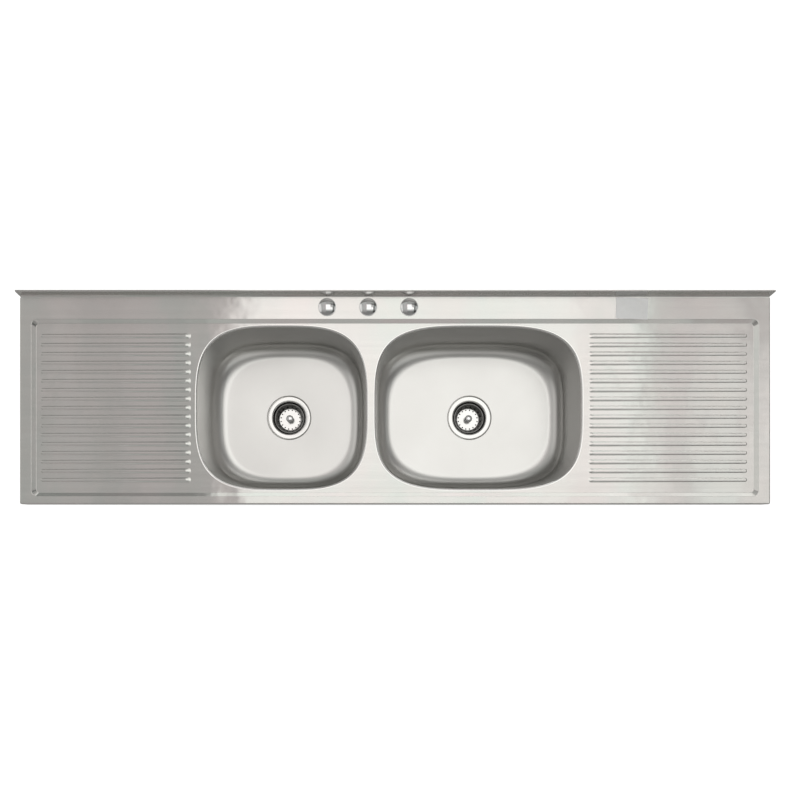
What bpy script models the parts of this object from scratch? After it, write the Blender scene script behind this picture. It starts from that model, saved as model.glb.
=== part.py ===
"""A sit-on sink top with two bowls and two drainers, in stainless steel.

Metres, +X to the right, +Y to the wall, +Z up. The origin is the middle of the front return flange's
underside, the face that rests on the cabinet's front rail, so Z = 0 is the top of the cabinet.
"""

import math

import bmesh
import bpy

MM = 0.001
GAP = 0.3 * MM  # between faces that touch on the real object

# The pressed sheet.
SHEET_LENGTH = 1.830
SHEET_DEPTH = 0.508  # front edge to the foot of the upstand
SHEET_THICKNESS = 1.0 * MM
EDGE_DROP = 38 * MM  # height of the turned-down edges
EDGE_RADIUS = 3 * MM
RETURN_WIDTH = 22 * MM
PANEL_MARGIN_SIDE = 28 * MM
PANEL_MARGIN_FRONT = 19 * MM
LEDGE_DEPTH = 56 * MM
PANEL_SINK = 7 * MM  # how far the panel lies below the rim
STEP_WIDTH = 10 * MM
PANEL_CORNER = 15 * MM
COVE = 4 * MM
UPSTAND_HEIGHT = 25 * MM
UPSTAND_LEAN = 3 * MM
ROLL_RADIUS = 2.2 * MM
ROLL_RETURN = 12 * MM

# The drainers' raised beads.
BEADS = 17
BEAD_PITCH = 22 * MM
BEAD_WIDTH = 10 * MM
BEAD_TOP_WIDTH = 4.5 * MM
BEAD_HEIGHT = 2.2 * MM
BEAD_ENDS = ((-0.866, -0.499), (0.473, 0.861))  # left and right end of each drainer's beads

# The bowls: centre X, half length and the power of the rim's superellipse.
BOWLS = {"left": (-0.2772, 0.2075, 3.35), "right": (0.2046, 0.2520, 3.6)}
BOWL_HALF_DEPTH = 0.1985
BOWL_CENTRE = 0.236  # from the front edge, and the middle of the beads too
BOWL_SEGMENTS = 40
BOWL_HEIGHT = 0.170
BOWL_DRAFT = 9 * MM
BOWL_FILLET = 36 * MM
FLOOR_POWER = 3.0
FLOOR_FALL = 3 * MM
LIP_RADIUS = 4 * MM
LIP_DEPTH = 6 * MM
DRAIN_RECESS_RADIUS = 60 * MM
DRAIN_RECESS_DEPTH = 2.5 * MM
DRAIN_HOLE_RADIUS = 46 * MM

# The tap holes.
TAP_CENTRE_X = -0.0655
TAP_PITCH = 0.100
TAP_FROM_FRONT = 0.4806
TAP_HOLE_RADIUS = 17.5 * MM

# Pieces fixed under the sheet.
CHANNELS = {
    "left_drainer_channel_outer": -0.780,
    "left_drainer_channel_inner": -0.610,
    "right_drainer_channel_inner": 0.580,
    "right_drainer_channel_outer": 0.770,
}
CHANNEL_ENDS = (0.050, 0.422)  # from the front edge
RAILS = {"left_rear_rail": (-0.860, -0.250), "right_rear_rail": (0.140, 0.860)}
PAD_THICKNESS = 3 * MM
LABEL_SIZE = (78 * MM, 52 * MM, 0.3 * MM)
LABEL_CENTRE = (0.577, 0.4775)  # the second is from the front edge

HALF_LENGTH = SHEET_LENGTH / 2
FRONT = -RETURN_WIDTH / 2
FOOT = FRONT + SHEET_DEPTH
LEDGE_FRONT = FOOT - LEDGE_DEPTH
RIM_Z = EDGE_DROP
PANEL_Z = RIM_Z - PANEL_SINK
BOWL_Y = FRONT + BOWL_CENTRE
BOWL_TOP_Z = PANEL_Z - LIP_DEPTH - GAP
FLOOR_Z = PANEL_Z - BOWL_HEIGHT
DRAIN_Z = FLOOR_Z - FLOOR_FALL - DRAIN_RECESS_DEPTH  # the seat of the strainer's flange
PANEL_UNDERSIDE = PANEL_Z - SHEET_THICKNESS - GAP
RIM_UNDERSIDE = RIM_Z - SHEET_THICKNESS - GAP


def clear_scene():
    for obj in list(bpy.data.objects):
        bpy.data.objects.remove(obj, do_unlink=True)


def material(name, colour, roughness, metallic=0.0):
    made = bpy.data.materials.new(name)
    made.use_nodes = True
    shader = made.node_tree.nodes["Principled BSDF"]
    shader.inputs["Base Color"].default_value = (*colour, 1)
    shader.inputs["Roughness"].default_value = roughness
    shader.inputs["Metallic"].default_value = metallic
    return made


def place(name, mesh, finish, location=(0, 0, 0), parent=None):
    """One named piece. Pieces of the same shape share a mesh."""
    if not mesh.materials:
        mesh.materials.append(finish)
    obj = bpy.data.objects.new(name, mesh)
    obj.location = location
    obj.parent = parent
    bpy.context.scene.collection.objects.link(obj)
    return obj


def baked(obj):
    """The mesh that an object's modifiers give. The object itself is removed."""
    bpy.context.view_layer.update()
    evaluated = obj.evaluated_get(bpy.context.evaluated_depsgraph_get())
    mesh = bpy.data.meshes.new_from_object(evaluated)
    bpy.data.objects.remove(obj, do_unlink=True)
    return mesh


def helper(mesh):
    obj = bpy.data.objects.new("helper", mesh)
    obj.hide_render = True
    obj.display_type = "WIRE"
    bpy.context.scene.collection.objects.link(obj)
    return obj


def combined(mesh, operation, *others):
    """A Boolean of one mesh with others that don't meet each other, all in the same local frame."""
    bm = bmesh.new()
    for other in others:
        bm.from_mesh(other)
    tools = bpy.data.meshes.new("tools")
    bm.to_mesh(tools)
    bm.free()
    body, tool = helper(mesh), helper(tools)
    modifier = body.modifiers.new(operation.lower(), "BOOLEAN")
    modifier.operation = operation
    modifier.object = tool
    result = baked(body)
    bpy.data.objects.remove(tool, do_unlink=True)
    result.shade_smooth()
    result.set_sharp_from_angle(angle=math.radians(35))
    return result


def turned(profile, steps=24):
    """A turned shape. The profile's (radius, height) points, in millimetres, run down the outer side first.

    A profile that starts and ends on the axis is a solid of revolution; any other is closed into a ring.
    """
    points = [(radius * MM, 0, height * MM) for radius, height in profile]
    edges = [(i, i + 1) for i in range(len(points) - 1)]
    if profile[0][0] > 0:
        edges.append((len(points) - 1, 0))
    mesh = bpy.data.meshes.new("turned")
    mesh.from_pydata(points, edges, [])
    obj = helper(mesh)
    screw = obj.modifiers.new("turn", "SCREW")
    screw.steps = screw.render_steps = steps
    screw.use_merge_vertices = True
    screw.merge_threshold = 0.00001
    result = baked(obj)
    result.set_sharp_from_angle(angle=math.radians(35))
    return result


def mesh_of(bm, name, facing_up=False):
    """The finished mesh. An open skin, which has no inside, can be told to face up."""
    bmesh.ops.recalc_face_normals(bm, faces=bm.faces)
    if facing_up and sum(face.normal.z * face.calc_area() for face in bm.faces) < 0:
        bmesh.ops.reverse_faces(bm, faces=bm.faces)
    mesh = bpy.data.meshes.new(name)
    bm.to_mesh(mesh)
    bm.free()
    mesh.shade_smooth()
    mesh.set_sharp_from_angle(angle=math.radians(35))
    return mesh


def loop(bm, outline, z):
    return [bm.verts.new((x, y, z)) for x, y in outline]


def bridge(bm, first, second, closed=True):
    count = len(first)
    for i in range(count if closed else count - 1):
        j = (i + 1) % count
        bm.faces.new((first[i], first[j], second[j], second[i]))


def fill_flat(bm, loops):
    """A flat face inside the first loop, with the other loops left open in it."""
    edges = []
    for verts in loops:
        for a, b in zip(verts, verts[1:] + verts[:1]):
            edges.append(bm.edges.get((a, b)) or bm.edges.new((a, b)))
    bmesh.ops.triangle_fill(bm, use_beauty=True, edges=edges, normal=(0, 0, 1))


def prism(outline, low, high, hole=()):
    """An upright prism, with an upright hole where one is given."""
    bm = bmesh.new()
    bottom, top = loop(bm, outline, low), loop(bm, outline, high)
    bridge(bm, bottom, top)
    if hole:
        hole_bottom, hole_top = loop(bm, hole, low), loop(bm, hole, high)
        bridge(bm, hole_bottom, hole_top)
        fill_flat(bm, (bottom, hole_bottom))
        fill_flat(bm, (top, hole_top))
    else:
        bm.faces.new(bottom)
        bm.faces.new(top)
    return mesh_of(bm, "prism")


def folded(section, start, end, along):
    """A folded strip: a closed section of (across, height) points, extruded along X or Y."""
    bm = bmesh.new()
    ends = []
    for run in (start, end):
        if along == "X":
            ends.append([bm.verts.new((run, across, z)) for across, z in section])
        else:
            ends.append([bm.verts.new((across, run, z)) for across, z in section])
        bm.faces.new(ends[-1])
    bridge(bm, *ends)
    return mesh_of(bm, "folded")


def circle(radius, count, x=0.0, y=0.0):
    turns = (math.tau * i / count for i in range(count))
    return [(x + radius * math.cos(turn), y + radius * math.sin(turn)) for turn in turns]


def rectangle(left, front, right, back):
    return [(left, front), (right, front), (right, back), (left, back)]


def rounded_rectangle(left, front, right, back, radius, steps=4):
    corners = (
        (right - radius, front + radius, 270),
        (right - radius, back - radius, 0),
        (left + radius, back - radius, 90),
        (left + radius, front + radius, 180),
    )
    outline = []
    for x, y, start in corners:
        for step in range(steps + 1):
            turn = math.radians(start + 90 * step / steps)
            outline.append((x + radius * math.cos(turn), y + radius * math.sin(turn)))
    return outline


def stadium(left, right, y, radius, steps=3):
    outline = []
    for x, start in ((right - radius, -90), (left + radius, 90)):
        for step in range(steps + 1):
            turn = math.radians(start + 180 * step / steps)
            outline.append((x + radius * math.cos(turn), y + radius * math.sin(turn)))
    return outline


def superellipse(x, y, half_x, half_y, power, count=BOWL_SEGMENTS):
    outline = []
    for i in range(count):
        c, s = math.cos(math.tau * i / count), math.sin(math.tau * i / count)
        reach = (abs(c / half_x) ** power + abs(s / half_y) ** power) ** (-1 / power)
        outline.append((x + reach * c, y + reach * s))
    return outline


def bowl_outline(side, inset, power=None):
    x, half_x, rim_power = BOWLS[side]
    return superellipse(x, BOWL_Y, half_x - inset, BOWL_HALF_DEPTH - inset, power or rim_power)


def add_panel(bm, rim_plane):
    """The sloping step and the sunk panel, with its beads and the lips of its bowl openings."""
    margins = (
        -HALF_LENGTH + PANEL_MARGIN_SIDE,
        FRONT + PANEL_MARGIN_FRONT,
        HALF_LENGTH - PANEL_MARGIN_SIDE,
        LEDGE_FRONT,
    )
    inner = [edge + sign * STEP_WIDTH for edge, sign in zip(margins, (1, 1, -1, -1))]
    step_top = loop(bm, rounded_rectangle(*margins, PANEL_CORNER), RIM_Z)
    step_foot = loop(bm, rounded_rectangle(*inner, PANEL_CORNER - STEP_WIDTH / 2), PANEL_Z)
    bridge(bm, step_top, step_foot)
    rim_plane.append(step_top)

    panel_plane = [step_foot]
    for left, right in BEAD_ENDS:
        for row in range(BEADS):
            y = BOWL_Y + (row - (BEADS - 1) / 2) * BEAD_PITCH
            foot = loop(bm, stadium(left, right, y, BEAD_WIDTH / 2), PANEL_Z)
            slope = (BEAD_WIDTH - BEAD_TOP_WIDTH) / 2
            crown_outline = stadium(left + slope, right - slope, y, BEAD_TOP_WIDTH / 2)
            crown = loop(bm, crown_outline, PANEL_Z + BEAD_HEIGHT)
            bridge(bm, foot, crown)
            bm.faces.new(crown)
            panel_plane.append(foot)
    for side in BOWLS:
        upper = loop(bm, bowl_outline(side, -LIP_RADIUS), PANEL_Z)
        panel_plane.append(upper)
        for turn in (45, 90):
            bend = math.radians(turn)
            outline = bowl_outline(side, -LIP_RADIUS * (1 - math.sin(bend)))
            lower = loop(bm, outline, PANEL_Z - LIP_RADIUS * (1 - math.cos(bend)))
            bridge(bm, upper, lower)
            upper = lower
        bridge(bm, upper, loop(bm, bowl_outline(side, 0), PANEL_Z - LIP_DEPTH))
    fill_flat(bm, panel_plane)


def add_turned_down_edges(bm, corners):
    """The front and side edges: round the bend, down, and back in along the return flange.

    corners are the rim's rear left, front left, front right and rear right, in that order.
    """
    section = []
    for turn in (30, 60, 90):
        bend = math.radians(turn)
        section.append((EDGE_RADIUS * math.sin(bend), RIM_Z - EDGE_RADIUS * (1 - math.cos(bend))))
    section += [(EDGE_RADIUS, 0), (EDGE_RADIUS - RETURN_WIDTH, 0)]
    directions = ((-1, 0), (-1, -1), (1, -1), (1, 0))
    places = [vert.co.copy() for vert in corners]
    above = corners
    for out, z in section:
        below = [
            bm.verts.new((at.x + out * dx, at.y + out * dy, z)) for at, (dx, dy) in zip(places, directions)
        ]
        bridge(bm, above, below, closed=False)
        above = below


def add_upstand(bm, left, right):
    """The rear upstand: a cove, a leaning face, a rolled top and a short return behind it."""
    section = []
    for turn in (30, 60, 90):
        bend = math.radians(turn)
        section.append((FOOT - COVE + COVE * math.sin(bend), RIM_Z + COVE * (1 - math.cos(bend))))
    top = RIM_Z + UPSTAND_HEIGHT - ROLL_RADIUS
    for turn in range(0, 181, 45):
        bend = math.radians(turn)
        y = FOOT + UPSTAND_LEAN + ROLL_RADIUS * (1 - math.cos(bend))
        section.append((y, top + ROLL_RADIUS * math.sin(bend)))
    section.append((section[-1][0], top - ROLL_RETURN))
    below = [left, right]
    for y, z in section:
        above = [bm.verts.new((vert.co.x, y, z)) for vert in (left, right)]
        bridge(bm, below, above, closed=False)
        below = above


def make_worktop(steel):
    bm = bmesh.new()
    reach, front, back = HALF_LENGTH - EDGE_RADIUS, FRONT + EDGE_RADIUS, FOOT - COVE
    corners = loop(bm, ((-reach, back), (-reach, front), (reach, front), (reach, back)), RIM_Z)
    rim_plane = [corners]
    for tap in range(-1, 2):
        x = TAP_CENTRE_X + tap * TAP_PITCH
        rim_plane.append(loop(bm, circle(TAP_HOLE_RADIUS, 20, x, FRONT + TAP_FROM_FRONT), RIM_Z))
    add_panel(bm, rim_plane)
    fill_flat(bm, rim_plane)
    add_turned_down_edges(bm, corners)
    add_upstand(bm, corners[0], corners[3])
    thicken(place("worktop", mesh_of(bm, "worktop", facing_up=True), steel), SHEET_THICKNESS)


def thicken(obj, thickness):
    """Gives a skin its thickness, on the side away from its normals."""
    solidify = obj.modifiers.new("thickness", "SOLIDIFY")
    solidify.thickness = thickness
    solidify.offset = -1
    solidify.use_even_offset = True


def floor_ring(side, share):
    """An outline on the bowl's floor, from the drain's recess at 0 to the floor's edge at 1."""
    x = BOWLS[side][0]
    edge = bowl_outline(side, BOWL_DRAFT + BOWL_FILLET, FLOOR_POWER)
    drain = circle(DRAIN_RECESS_RADIUS, BOWL_SEGMENTS, x, BOWL_Y)
    outline = [
        (ax + (bx - ax) * share, ay + (by - ay) * share) for (ax, ay), (bx, by) in zip(drain, edge)
    ]
    return outline, FLOOR_Z - FLOOR_FALL * (1 - share)


def make_bowl(side, steel):
    """A deep-drawn bowl: a drafted wall, a wide fillet, and a floor that falls to a recessed drain hole."""
    x = BOWLS[side][0]
    bm = bmesh.new()
    rings = [(bowl_outline(side, 0), BOWL_TOP_Z)]
    for turn in (0, 30, 60, 90):
        bend = math.radians(turn)
        inset = BOWL_DRAFT + BOWL_FILLET * (1 - math.cos(bend))
        power = BOWLS[side][2] + (FLOOR_POWER - BOWLS[side][2]) * math.sin(bend)
        rings.append((bowl_outline(side, inset, power), FLOOR_Z + BOWL_FILLET * (1 - math.sin(bend))))
    rings.append(floor_ring(side, 0))
    recess = circle(DRAIN_RECESS_RADIUS - DRAIN_RECESS_DEPTH, BOWL_SEGMENTS, x, BOWL_Y)
    rings.append((recess, DRAIN_Z))
    rings.append((circle(DRAIN_HOLE_RADIUS, BOWL_SEGMENTS, x, BOWL_Y), DRAIN_Z))
    verts = [loop(bm, outline, z) for outline, z in rings]
    for upper, lower in zip(verts, verts[1:]):
        bridge(bm, upper, lower)
    thicken(place(side + "_bowl", mesh_of(bm, "bowl", facing_up=True), steel), SHEET_THICKNESS)


def make_pad(side, bitumen):
    """A sound-deadening pad, stuck under the bowl's floor round the drain."""
    bm = bmesh.new()
    top = -SHEET_THICKNESS - GAP - 0.1 * MM
    rings = []
    for share, drop in ((0.12, top), (0.72, top), (0.72, top - PAD_THICKNESS), (0.12, top - PAD_THICKNESS)):
        outline, z = floor_ring(side, share)
        rings.append(loop(bm, outline[::2], z + drop))
    for upper, lower in zip(rings, rings[1:] + rings[:1]):
        bridge(bm, upper, lower)
    place(side + "_sound_pad", mesh_of(bm, "pad"), bitumen)


def make_strainer(side, steel, chrome, rubber, fibre, brass, plastic):
    """A basket strainer and its tailpiece. Heights are from the seat of the flange, in millimetres."""
    at = (BOWLS[side][0], BOWL_Y, DRAIN_Z)
    joint = bpy.data.objects.new(side + "_drain_axis", None)
    joint.location = at
    bpy.context.scene.collection.objects.link(joint)

    def piece(name, mesh, finish):
        place(side + "_" + name, mesh, finish, parent=joint)

    outside = [(57, 1.4), (57, 0.3), (45.5, 0.3), (44, -1.2), (44, -38), (40.3, -48.5), (37, -52.6)]
    inside = [(18, -51), (36, -51), (38.5, -47), (42, -36), (42.5, -4), (44.5, -0.2), (54, 2.2)]
    piece("strainer_body", turned(outside + [(18, -52.6)] + inside), steel)
    plate = [(26, -52.9), (26, -54.9), (22.5, -54.9)]
    spigot = [(22.5, -72), (19.5, -72), (19.5, -55.9), (4.2, -55.9), (4.2, -52.9)]
    outlets = [prism(circle(5.3 * MM, 8, *spot), -60 * MM, -45 * MM) for spot in circle(12 * MM, 4)]
    piece("strainer_outlet", combined(turned(plate + spigot), "DIFFERENCE", *outlets), brass)

    piece("strainer_gasket", turned([(56, -1.4), (56, -4.2), (44.6, -4.2), (44.6, -1.4)]), rubber)
    piece("friction_ring", turned([(55, -4.5), (55, -5.5), (44.6, -5.5), (44.6, -4.5)]), fibre)
    lugs = []
    for i in range(24):
        reach = 60 * MM if i % 4 in (0, 1) else 55 * MM
        turn = math.tau * i / 24
        lugs.append((reach * math.cos(turn), reach * math.sin(turn)))
    nut = prism(lugs, -18 * MM, -5.8 * MM, circle(44.5 * MM, 24))
    piece("lock_nut", nut, brass)

    cup_outside = [(40, -9), (40, -9.8), (38.4, -9.8), (30.5, -33.8)]
    cup_inside = [(4.0, -33.8), (4.0, -33), (29.8, -33), (37.8, -9)]
    holes = [prism(circle(1.7 * MM, 6, *spot), -40 * MM, -30 * MM) for spot in circle(26 * MM, 16)]
    slots = []
    for i in range(16):
        slot = prism(rectangle(28 * MM, -1.6 * MM, 45 * MM, 1.6 * MM), -30 * MM, -18 * MM)
        slot.transform(turn_about_z(math.tau * (i + 0.5) / 16))
        slots.append(slot)
    basket = combined(turned(cup_outside + cup_inside, 32), "DIFFERENCE", *holes, *slots)
    piece("basket", basket, steel)
    knob = [(0, -10), (7, -10.6), (9.5, -13.5), (8.5, -17.5), (5.3, -21), (5.3, -27)]
    socket = [(6.5, -32.7), (3.9, -32.7), (3.9, -22), (0, -22)]
    piece("basket_knob", turned(knob + socket, 16), chrome)
    piece("basket_post", turned([(0, -22.3), (3.6, -22.3), (3.6, -63), (2.6, -65), (0, -65)], 16), steel)
    bell = [(9, -34.1), (9, -43), (20, -46.5), (20.5, -50.7), (3.9, -50.7), (3.9, -34.1)]
    piece("basket_stopper", turned(bell), rubber)

    washer = [(21.8, -72.3), (21.8, -74.3), (17.5, -74.3), (17.5, -72.3)]
    piece("tailpiece_washer", turned(washer, 20), rubber)
    pipe = [(22, -74.6), (22, -76.6), (18.6, -76.6), (18.6, -174.6), (17, -174.6), (17, -74.6)]
    piece("tailpiece", turned(pipe), chrome)
    grip = []
    for i in range(24):
        reach = 29 * MM if i % 3 else 26.5 * MM
        turn = math.tau * i / 24
        grip.append((reach * math.cos(turn), reach * math.sin(turn)))
    sleeve = prism(grip, -79.2 * MM, -60 * MM, circle(22.9 * MM, 24))
    shoulder = turned([(25, -76.9), (25, -79.2), (19, -79.2), (19, -76.9)])
    piece("coupling_nut", combined(sleeve, "UNION", shoulder), plastic)


def turn_about_z(angle):
    c, s = math.cos(angle), math.sin(angle)
    return ((c, -s, 0, 0), (s, c, 0, 0), (0, 0, 1, 0), (0, 0, 0, 1))


def make_tap_hole_covers(chrome, rubber, steel, brass):
    """A domed cover for each tap hole, held from below. Heights are from the ledge, in millimetres."""
    dome = []
    for angle in range(0, 73, 24):
        lean = math.radians(angle)
        dome.append((21.6 * math.sin(lean), 1.6 + 5.4 * math.cos(lean)))
    cover = turned(dome + [(21.6, 1.6), (5, 1.6), (5, -30), (0, -30)])
    seal = turned([(20.8, 1.3), (20.8, 0.3), (5.4, 0.3), (5.4, 1.3)])
    washer = turned([(21, -1.3), (21, -2.8), (5.4, -2.8), (5.4, -1.3)])
    hub = turned([(9, -3.1), (9, -11), (5.4, -11), (5.4, -3.1)])
    wings = [prism(rectangle(low * MM, -1.5 * MM, high * MM, 1.5 * MM), -15 * MM, -5 * MM)
             for low, high in ((7, 19), (-19, -7))]
    wing_nut = combined(hub, "UNION", *wings)
    for number, name in enumerate(("left", "centre", "right")):
        at = (TAP_CENTRE_X + (number - 1) * TAP_PITCH, FRONT + TAP_FROM_FRONT, RIM_Z)
        place(name + "_tap_hole_cover", cover, chrome, at)
        place(name + "_cover_seal", seal, rubber, at)
        place(name + "_cover_washer", washer, steel, at)
        place(name + "_cover_wing_nut", wing_nut, brass, at)


def make_supports(galvanised):
    """Top-hat channels under the drainers, and a Z-shaped rail under the ledge on each side of the taps."""
    sheet, high, low = 1.2 * MM, PANEL_UNDERSIDE, PANEL_UNDERSIDE - 18 * MM
    half, brim = 18 * MM, 32 * MM
    hat = [
        (-brim, high), (-half, high), (-half, low + sheet), (half, low + sheet), (half, high), (brim, high),
        (brim, high - sheet), (half + sheet, high - sheet), (half + sheet, low),
        (-half - sheet, low), (-half - sheet, high - sheet), (-brim, high - sheet),
    ]
    for name, x in CHANNELS.items():
        section = [(x + across, z) for across, z in hat]
        place(name, folded(section, FRONT + CHANNEL_ENDS[0], FRONT + CHANNEL_ENDS[1], "Y"), galvanised)
    web = FOOT - 26 * MM
    rail = [
        (web, 0), (web, RIM_UNDERSIDE), (web + 20 * MM, RIM_UNDERSIDE),
        (web + 20 * MM, RIM_UNDERSIDE - sheet), (web + sheet, RIM_UNDERSIDE - sheet), (web + sheet, sheet),
        (web + 24 * MM, sheet), (web + 24 * MM, 0),
    ]
    for name, (left, right) in RAILS.items():
        place(name, folded(rail, left, right, "X"), galvanised)


def make_earth_tag(steel):
    """A bonding tag spot-welded under the panel behind the left drainer."""
    x, y = -0.520, FRONT + 0.4335
    plate, top, foot = 1 * MM, PANEL_UNDERSIDE, PANEL_UNDERSIDE - 17 * MM
    angle = [
        (x, foot), (x, top), (x - 14 * MM, top), (x - 14 * MM, top - plate), (x - plate, top - plate),
        (x - plate, foot),
    ]
    tag = folded(angle, y - 6 * MM, y + 6 * MM, "Y")
    drill = prism(circle(2.6 * MM, 12), -5 * MM, 5 * MM)
    drill.transform(((0, 0, 1, x), (0, 1, 0, y), (-1, 0, 0, foot + 7 * MM), (0, 0, 0, 1)))
    place("earth_tag", combined(tag, "DIFFERENCE", drill), steel)


def make_label(film):
    length, width, thickness = LABEL_SIZE
    outline = rectangle(-length / 2, -width / 2, length / 2, width / 2)
    at = (LABEL_CENTRE[0], FRONT + LABEL_CENTRE[1], RIM_Z + GAP)
    place("label", prism(outline, 0, thickness), film, at)


def main():
    clear_scene()
    steel = material("stainless_steel", (0.72, 0.72, 0.70), 0.32, 1.0)
    satin = material("satin_steel", (0.66, 0.66, 0.65), 0.42, 1.0)
    chrome = material("chrome", (0.86, 0.86, 0.86), 0.08, 1.0)
    brass = material("zinc_alloy", (0.60, 0.60, 0.57), 0.45, 1.0)
    galvanised = material("galvanised_steel", (0.55, 0.57, 0.58), 0.50, 1.0)
    rubber = material("rubber", (0.05, 0.05, 0.05), 0.80)
    fibre = material("fibre_board", (0.45, 0.33, 0.22), 0.90)
    plastic = material("white_plastic", (0.85, 0.85, 0.83), 0.40)
    bitumen = material("sound_pad", (0.16, 0.16, 0.17), 0.90)
    film = material("label_film", (0.78, 0.79, 0.80), 0.35)
    make_worktop(steel)
    for side in BOWLS:
        make_bowl(side, satin)
        make_pad(side, bitumen)
        make_strainer(side, steel, chrome, rubber, fibre, brass, plastic)
    make_tap_hole_covers(chrome, rubber, steel, brass)
    make_supports(galvanised)
    make_earth_tag(steel)
    make_label(film)


main()
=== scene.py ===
import math

import bmesh
import bpy
from mathutils import Matrix, Vector


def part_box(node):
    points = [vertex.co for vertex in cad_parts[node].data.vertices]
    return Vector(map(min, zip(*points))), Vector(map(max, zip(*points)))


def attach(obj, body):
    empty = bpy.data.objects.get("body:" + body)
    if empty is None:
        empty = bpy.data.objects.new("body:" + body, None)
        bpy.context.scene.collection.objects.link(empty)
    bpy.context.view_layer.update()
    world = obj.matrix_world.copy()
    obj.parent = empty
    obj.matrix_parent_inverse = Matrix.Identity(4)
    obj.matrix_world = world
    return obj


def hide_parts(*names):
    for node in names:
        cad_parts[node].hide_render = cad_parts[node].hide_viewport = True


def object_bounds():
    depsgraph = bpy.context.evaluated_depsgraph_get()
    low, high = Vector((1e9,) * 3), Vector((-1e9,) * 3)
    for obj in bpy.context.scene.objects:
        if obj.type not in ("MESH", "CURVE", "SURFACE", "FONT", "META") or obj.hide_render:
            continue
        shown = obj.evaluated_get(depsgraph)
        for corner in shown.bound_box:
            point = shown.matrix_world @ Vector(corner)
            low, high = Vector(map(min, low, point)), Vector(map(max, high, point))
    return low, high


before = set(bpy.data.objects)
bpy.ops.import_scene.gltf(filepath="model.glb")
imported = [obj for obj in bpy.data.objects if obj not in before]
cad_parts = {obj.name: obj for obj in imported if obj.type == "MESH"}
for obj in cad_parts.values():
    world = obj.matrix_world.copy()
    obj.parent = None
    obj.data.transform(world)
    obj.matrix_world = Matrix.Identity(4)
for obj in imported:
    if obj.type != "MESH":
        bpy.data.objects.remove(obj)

cad_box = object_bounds()


# The worktop: one sheet of 1 mm stainless steel, brushed lengthways. It is pressed with a sunk panel,
# raised drainer beads and two bowl openings. The front and sides are folded down and under, and the rear
# is folded up into a low upstand whose top is rolled over.
MM = 0.001
sheet_thickness = 1 * MM
upstand_height = 25 * MM
sheet_low, sheet_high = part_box("worktop")
half_length = sheet_high.x
front = sheet_low.y
rim_z = sheet_high.z - upstand_height
foot = front + 508 * MM  # the foot of the upstand
ledge_depth, panel_drop = 56 * MM, 7 * MM
ledge_front = foot - ledge_depth
panel_z = rim_z - panel_drop
fold_radius = 3 * MM
touching = 0.001 * MM  # points nearer than this are one point


def ring(bm, outline, z):
    return [bm.verts.new((x, y, z)) for x, y in outline]


def skin(bm, rings, closed=True, finish=0):
    """Quads between each row of points and the next."""
    for upper, lower in zip(rings, rings[1:]):
        count = len(upper)
        for i in range(count if closed else count - 1):
            j = (i + 1) % count
            bm.faces.new((upper[i], upper[j], lower[j], lower[i])).material_index = finish


def flat_fill(bm, rings):
    """A flat face inside the first ring, with the others left open in it."""
    edges = []
    for verts in rings:
        for a, b in zip(verts, verts[1:] + verts[:1]):
            edges.append(bm.edges.get((a, b)) or bm.edges.new((a, b)))
    bmesh.ops.triangle_fill(bm, use_beauty=True, edges=edges, normal=(0, 0, 1))


def smoothed(mesh, crease=32):
    mesh.shade_smooth()
    mesh.set_sharp_from_angle(angle=math.radians(crease))


def sheet_metal(bm, name, thickness):
    """The skin thickened on its underside, as a finished mesh."""
    bmesh.ops.remove_doubles(bm, verts=bm.verts, dist=touching)
    bmesh.ops.recalc_face_normals(bm, faces=bm.faces)
    if sum(face.normal.z * face.calc_area() for face in bm.faces) < 0:
        bmesh.ops.reverse_faces(bm, faces=bm.faces)
    mesh = bpy.data.meshes.new(name)
    bm.to_mesh(mesh)
    bm.free()
    obj = bpy.data.objects.new(name, mesh)
    bpy.context.scene.collection.objects.link(obj)
    solidify = obj.modifiers.new("gauge", "SOLIDIFY")
    solidify.thickness = thickness
    solidify.offset = -1
    solidify.use_even_offset = True
    bpy.context.view_layer.update()
    solid = bpy.data.meshes.new_from_object(obj.evaluated_get(bpy.context.evaluated_depsgraph_get()))
    obj.modifiers.clear()
    obj.data = solid
    smoothed(solid)
    return obj


def solid(bm, name):
    """A closed piece as a finished object."""
    bmesh.ops.remove_doubles(bm, verts=bm.verts, dist=touching)
    bmesh.ops.recalc_face_normals(bm, faces=bm.faces)
    mesh = bpy.data.meshes.new(name)
    bm.to_mesh(mesh)
    bm.free()
    smoothed(mesh)
    obj = bpy.data.objects.new(name, mesh)
    bpy.context.scene.collection.objects.link(obj)
    return obj


def cut(obj, tool_bm, name, operation="DIFFERENCE"):
    """The piece after a Boolean with a tool made round the same origin."""
    tool = solid(tool_bm, name + "_tool")
    tool.location = obj.location
    boolean = obj.modifiers.new("cut", "BOOLEAN")
    boolean.operation = operation
    boolean.object = tool
    bpy.context.view_layer.update()
    mesh = bpy.data.meshes.new_from_object(obj.evaluated_get(bpy.context.evaluated_depsgraph_get()))
    bpy.data.objects.remove(tool)
    obj.modifiers.clear()
    obj.data = mesh
    obj.name = mesh.name = name
    smoothed(mesh)
    return obj


def fitted(obj, body, slot, *nodes):
    """Hands a finished piece to the body it moves with, in place of the nodes it stands for."""
    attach(obj, body)
    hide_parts(*nodes)


def press_bend(drop, slope, radius, steps=6):
    """(run, fall) points down a pressed step: round one bend, down the slope and round the other bend."""
    upper = []
    for i in range(steps + 1):
        turn = slope * i / steps
        upper.append((radius * math.sin(turn), radius * (1 - math.cos(turn))))
    straight = (drop - 2 * upper[-1][1]) / math.sin(slope)
    run = 2 * upper[-1][0] + straight * math.cos(slope)
    return upper + [(run - across, drop - fall) for across, fall in reversed(upper)]


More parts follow.
